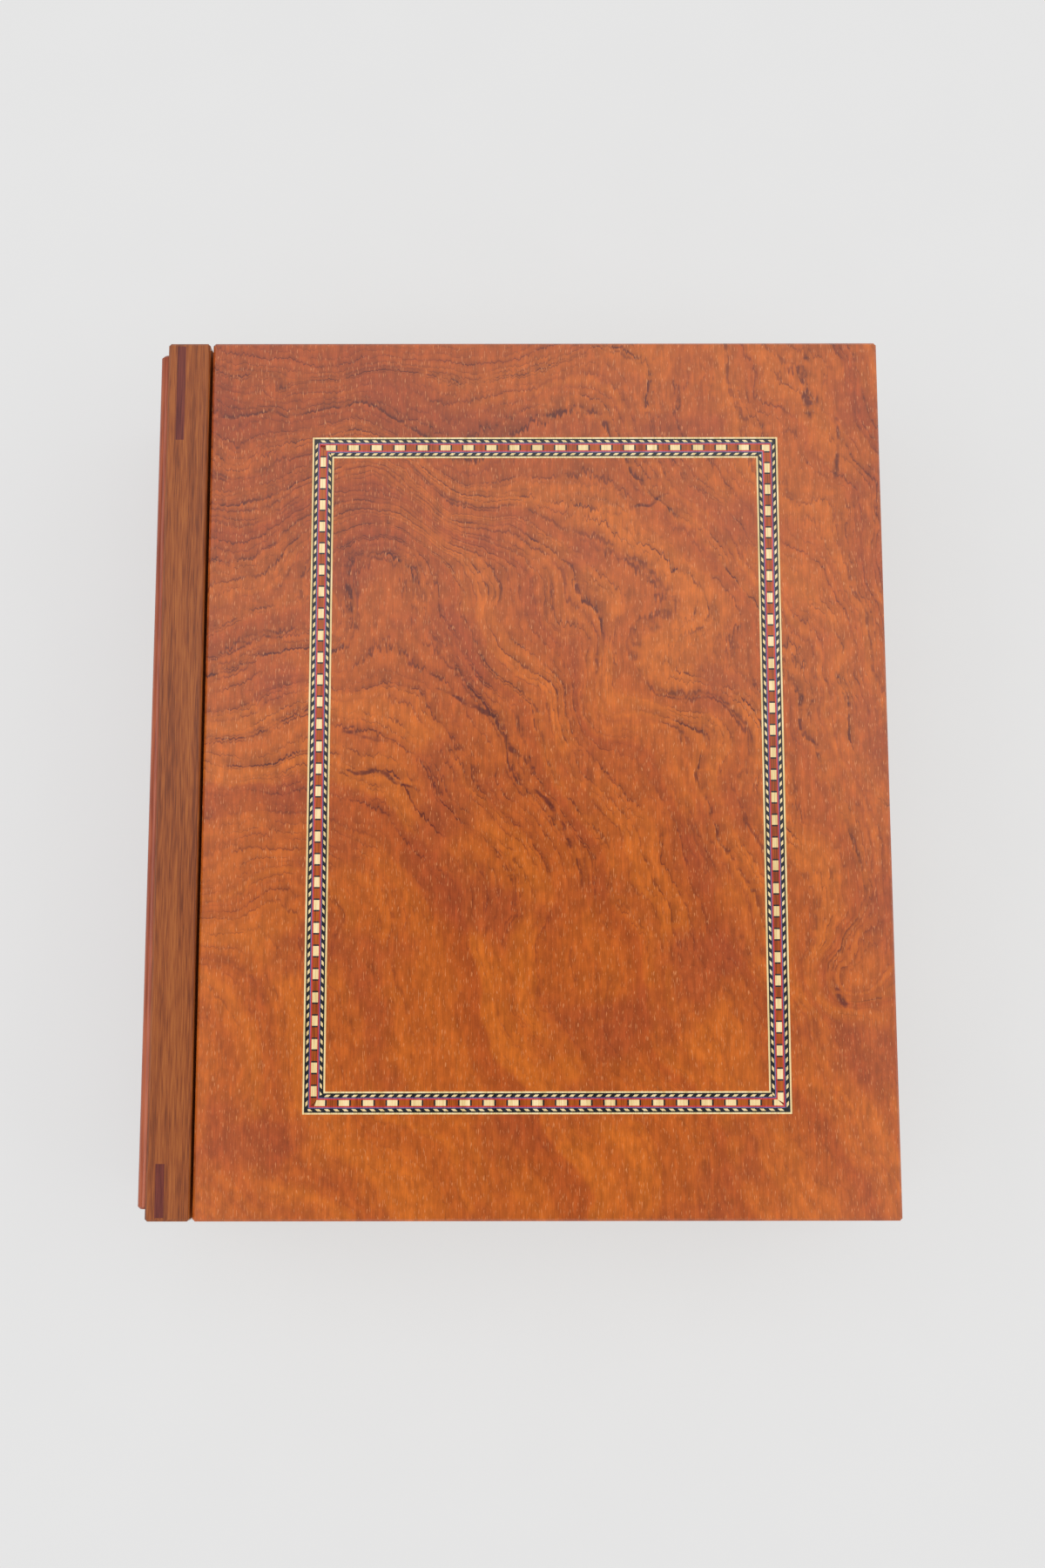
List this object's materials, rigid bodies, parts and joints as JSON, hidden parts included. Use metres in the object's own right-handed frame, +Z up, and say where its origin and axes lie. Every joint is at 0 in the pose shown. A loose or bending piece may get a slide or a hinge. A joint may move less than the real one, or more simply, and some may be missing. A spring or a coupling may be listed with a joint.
{
  "type": "book-shaped cigar humidor",
  "caption": "Wooden cigar box made like a closed book, with a hinged inlaid cover, cedar lining, sliding divider, hygrometer and humidifier.",
  "frame": {"origin": "middle of the box's footprint, on the surface it lies on", "axes": "+X from the spine to the fore edge, +Y from the tail to the head, +Z up out of the front cover"},
  "size_m": [0.2602, 0.308, 0.076],
  "materials": {
    "veneer": "glossy figured rosewood veneer",
    "strip_wood": "glossy straight-grained walnut-coloured hardwood",
    "dark_wood": "glossy dark purple-brown hardwood",
    "spine_wood": "glossy pinkish brown hardwood",
    "page_wood": "satin pale maple, lined like pages",
    "cedar": "bare planed cedar",
    "banding_line": "glossy pale boxwood line",
    "banding_rope": "glossy black and pale rope line",
    "banding_core": "glossy red and pale chequered core",
    "brass": "polished, lacquered",
    "steel": "zinc plated",
    "felt": "green baize",
    "dial": "matt printed",
    "pointer": "satin black",
    "glass": "clear",
    "black_plastic": "satin moulded",
    "pad": "open-cell foam"
  },
  "bodies": {
    "case": {"base_felt": "felt", "back_cover": "veneer", "spine_moulding": "spine_wood", "spine_strip": "strip_wood", "spine_strip_keys": "dark_wood", "spine_wall": "page_wood", "head_wall": "page_wood", "tail_wall": "page_wood", "fore_edge_wall": "page_wood", "floor_lining": "cedar", "head_lining": "cedar", "tail_lining": "cedar", "fore_edge_lining": "cedar", "spine_lining": "cedar", "hinge_rail": "strip_wood", "hinge_leaf_case": "brass", "hinge_pin": "brass", "hinge_screws_case": "brass", "case_catch_magnets": "steel"},
    "lid": {"hinge_leaf_lid": "brass", "hinge_screws_lid": "brass", "lid_catch_magnets": "steel", "lid_board": "veneer", "lid_lining": "cedar", "lid_steel_discs": "steel", "hygrometer_case": "brass", "hygrometer_bezel": "brass", "hygrometer_glass": "glass", "hygrometer_dial": "dial", "hygrometer_coil": "brass", "hygrometer_magnet": "steel", "humidifier_case": "black_plastic", "humidifier_cover": "black_plastic", "humidifier_pad": "pad", "humidifier_magnets": "steel", "banding_outer_line": "banding_line", "banding_outer_rope": "banding_rope", "banding_chequer_core": "banding_core", "banding_inner_rope": "banding_rope", "banding_inner_line": "banding_line"},
    "divider": {"divider": "cedar"},
    "pointer": {"hygrometer_pointer": "pointer"}
  },
  "joints": [
    {"name": "lid_hinge", "type": "hinge", "parent": "case", "child": "lid", "pos_m": [-0.1049, 0, 0.073], "axis": [0, -1, 0], "range_deg": [0, 98]},
    {"name": "divider_slide", "type": "slide", "parent": "case", "child": "divider", "axis": [1, 0, 0], "range_m": [-0.08, 0.08]},
    {"name": "pointer_turn", "type": "hinge", "parent": "lid", "child": "pointer", "pos_m": [0.0056, 0.07, 0.055], "axis": [0, 0, 1], "range_deg": [-135, 135]}
  ]
}
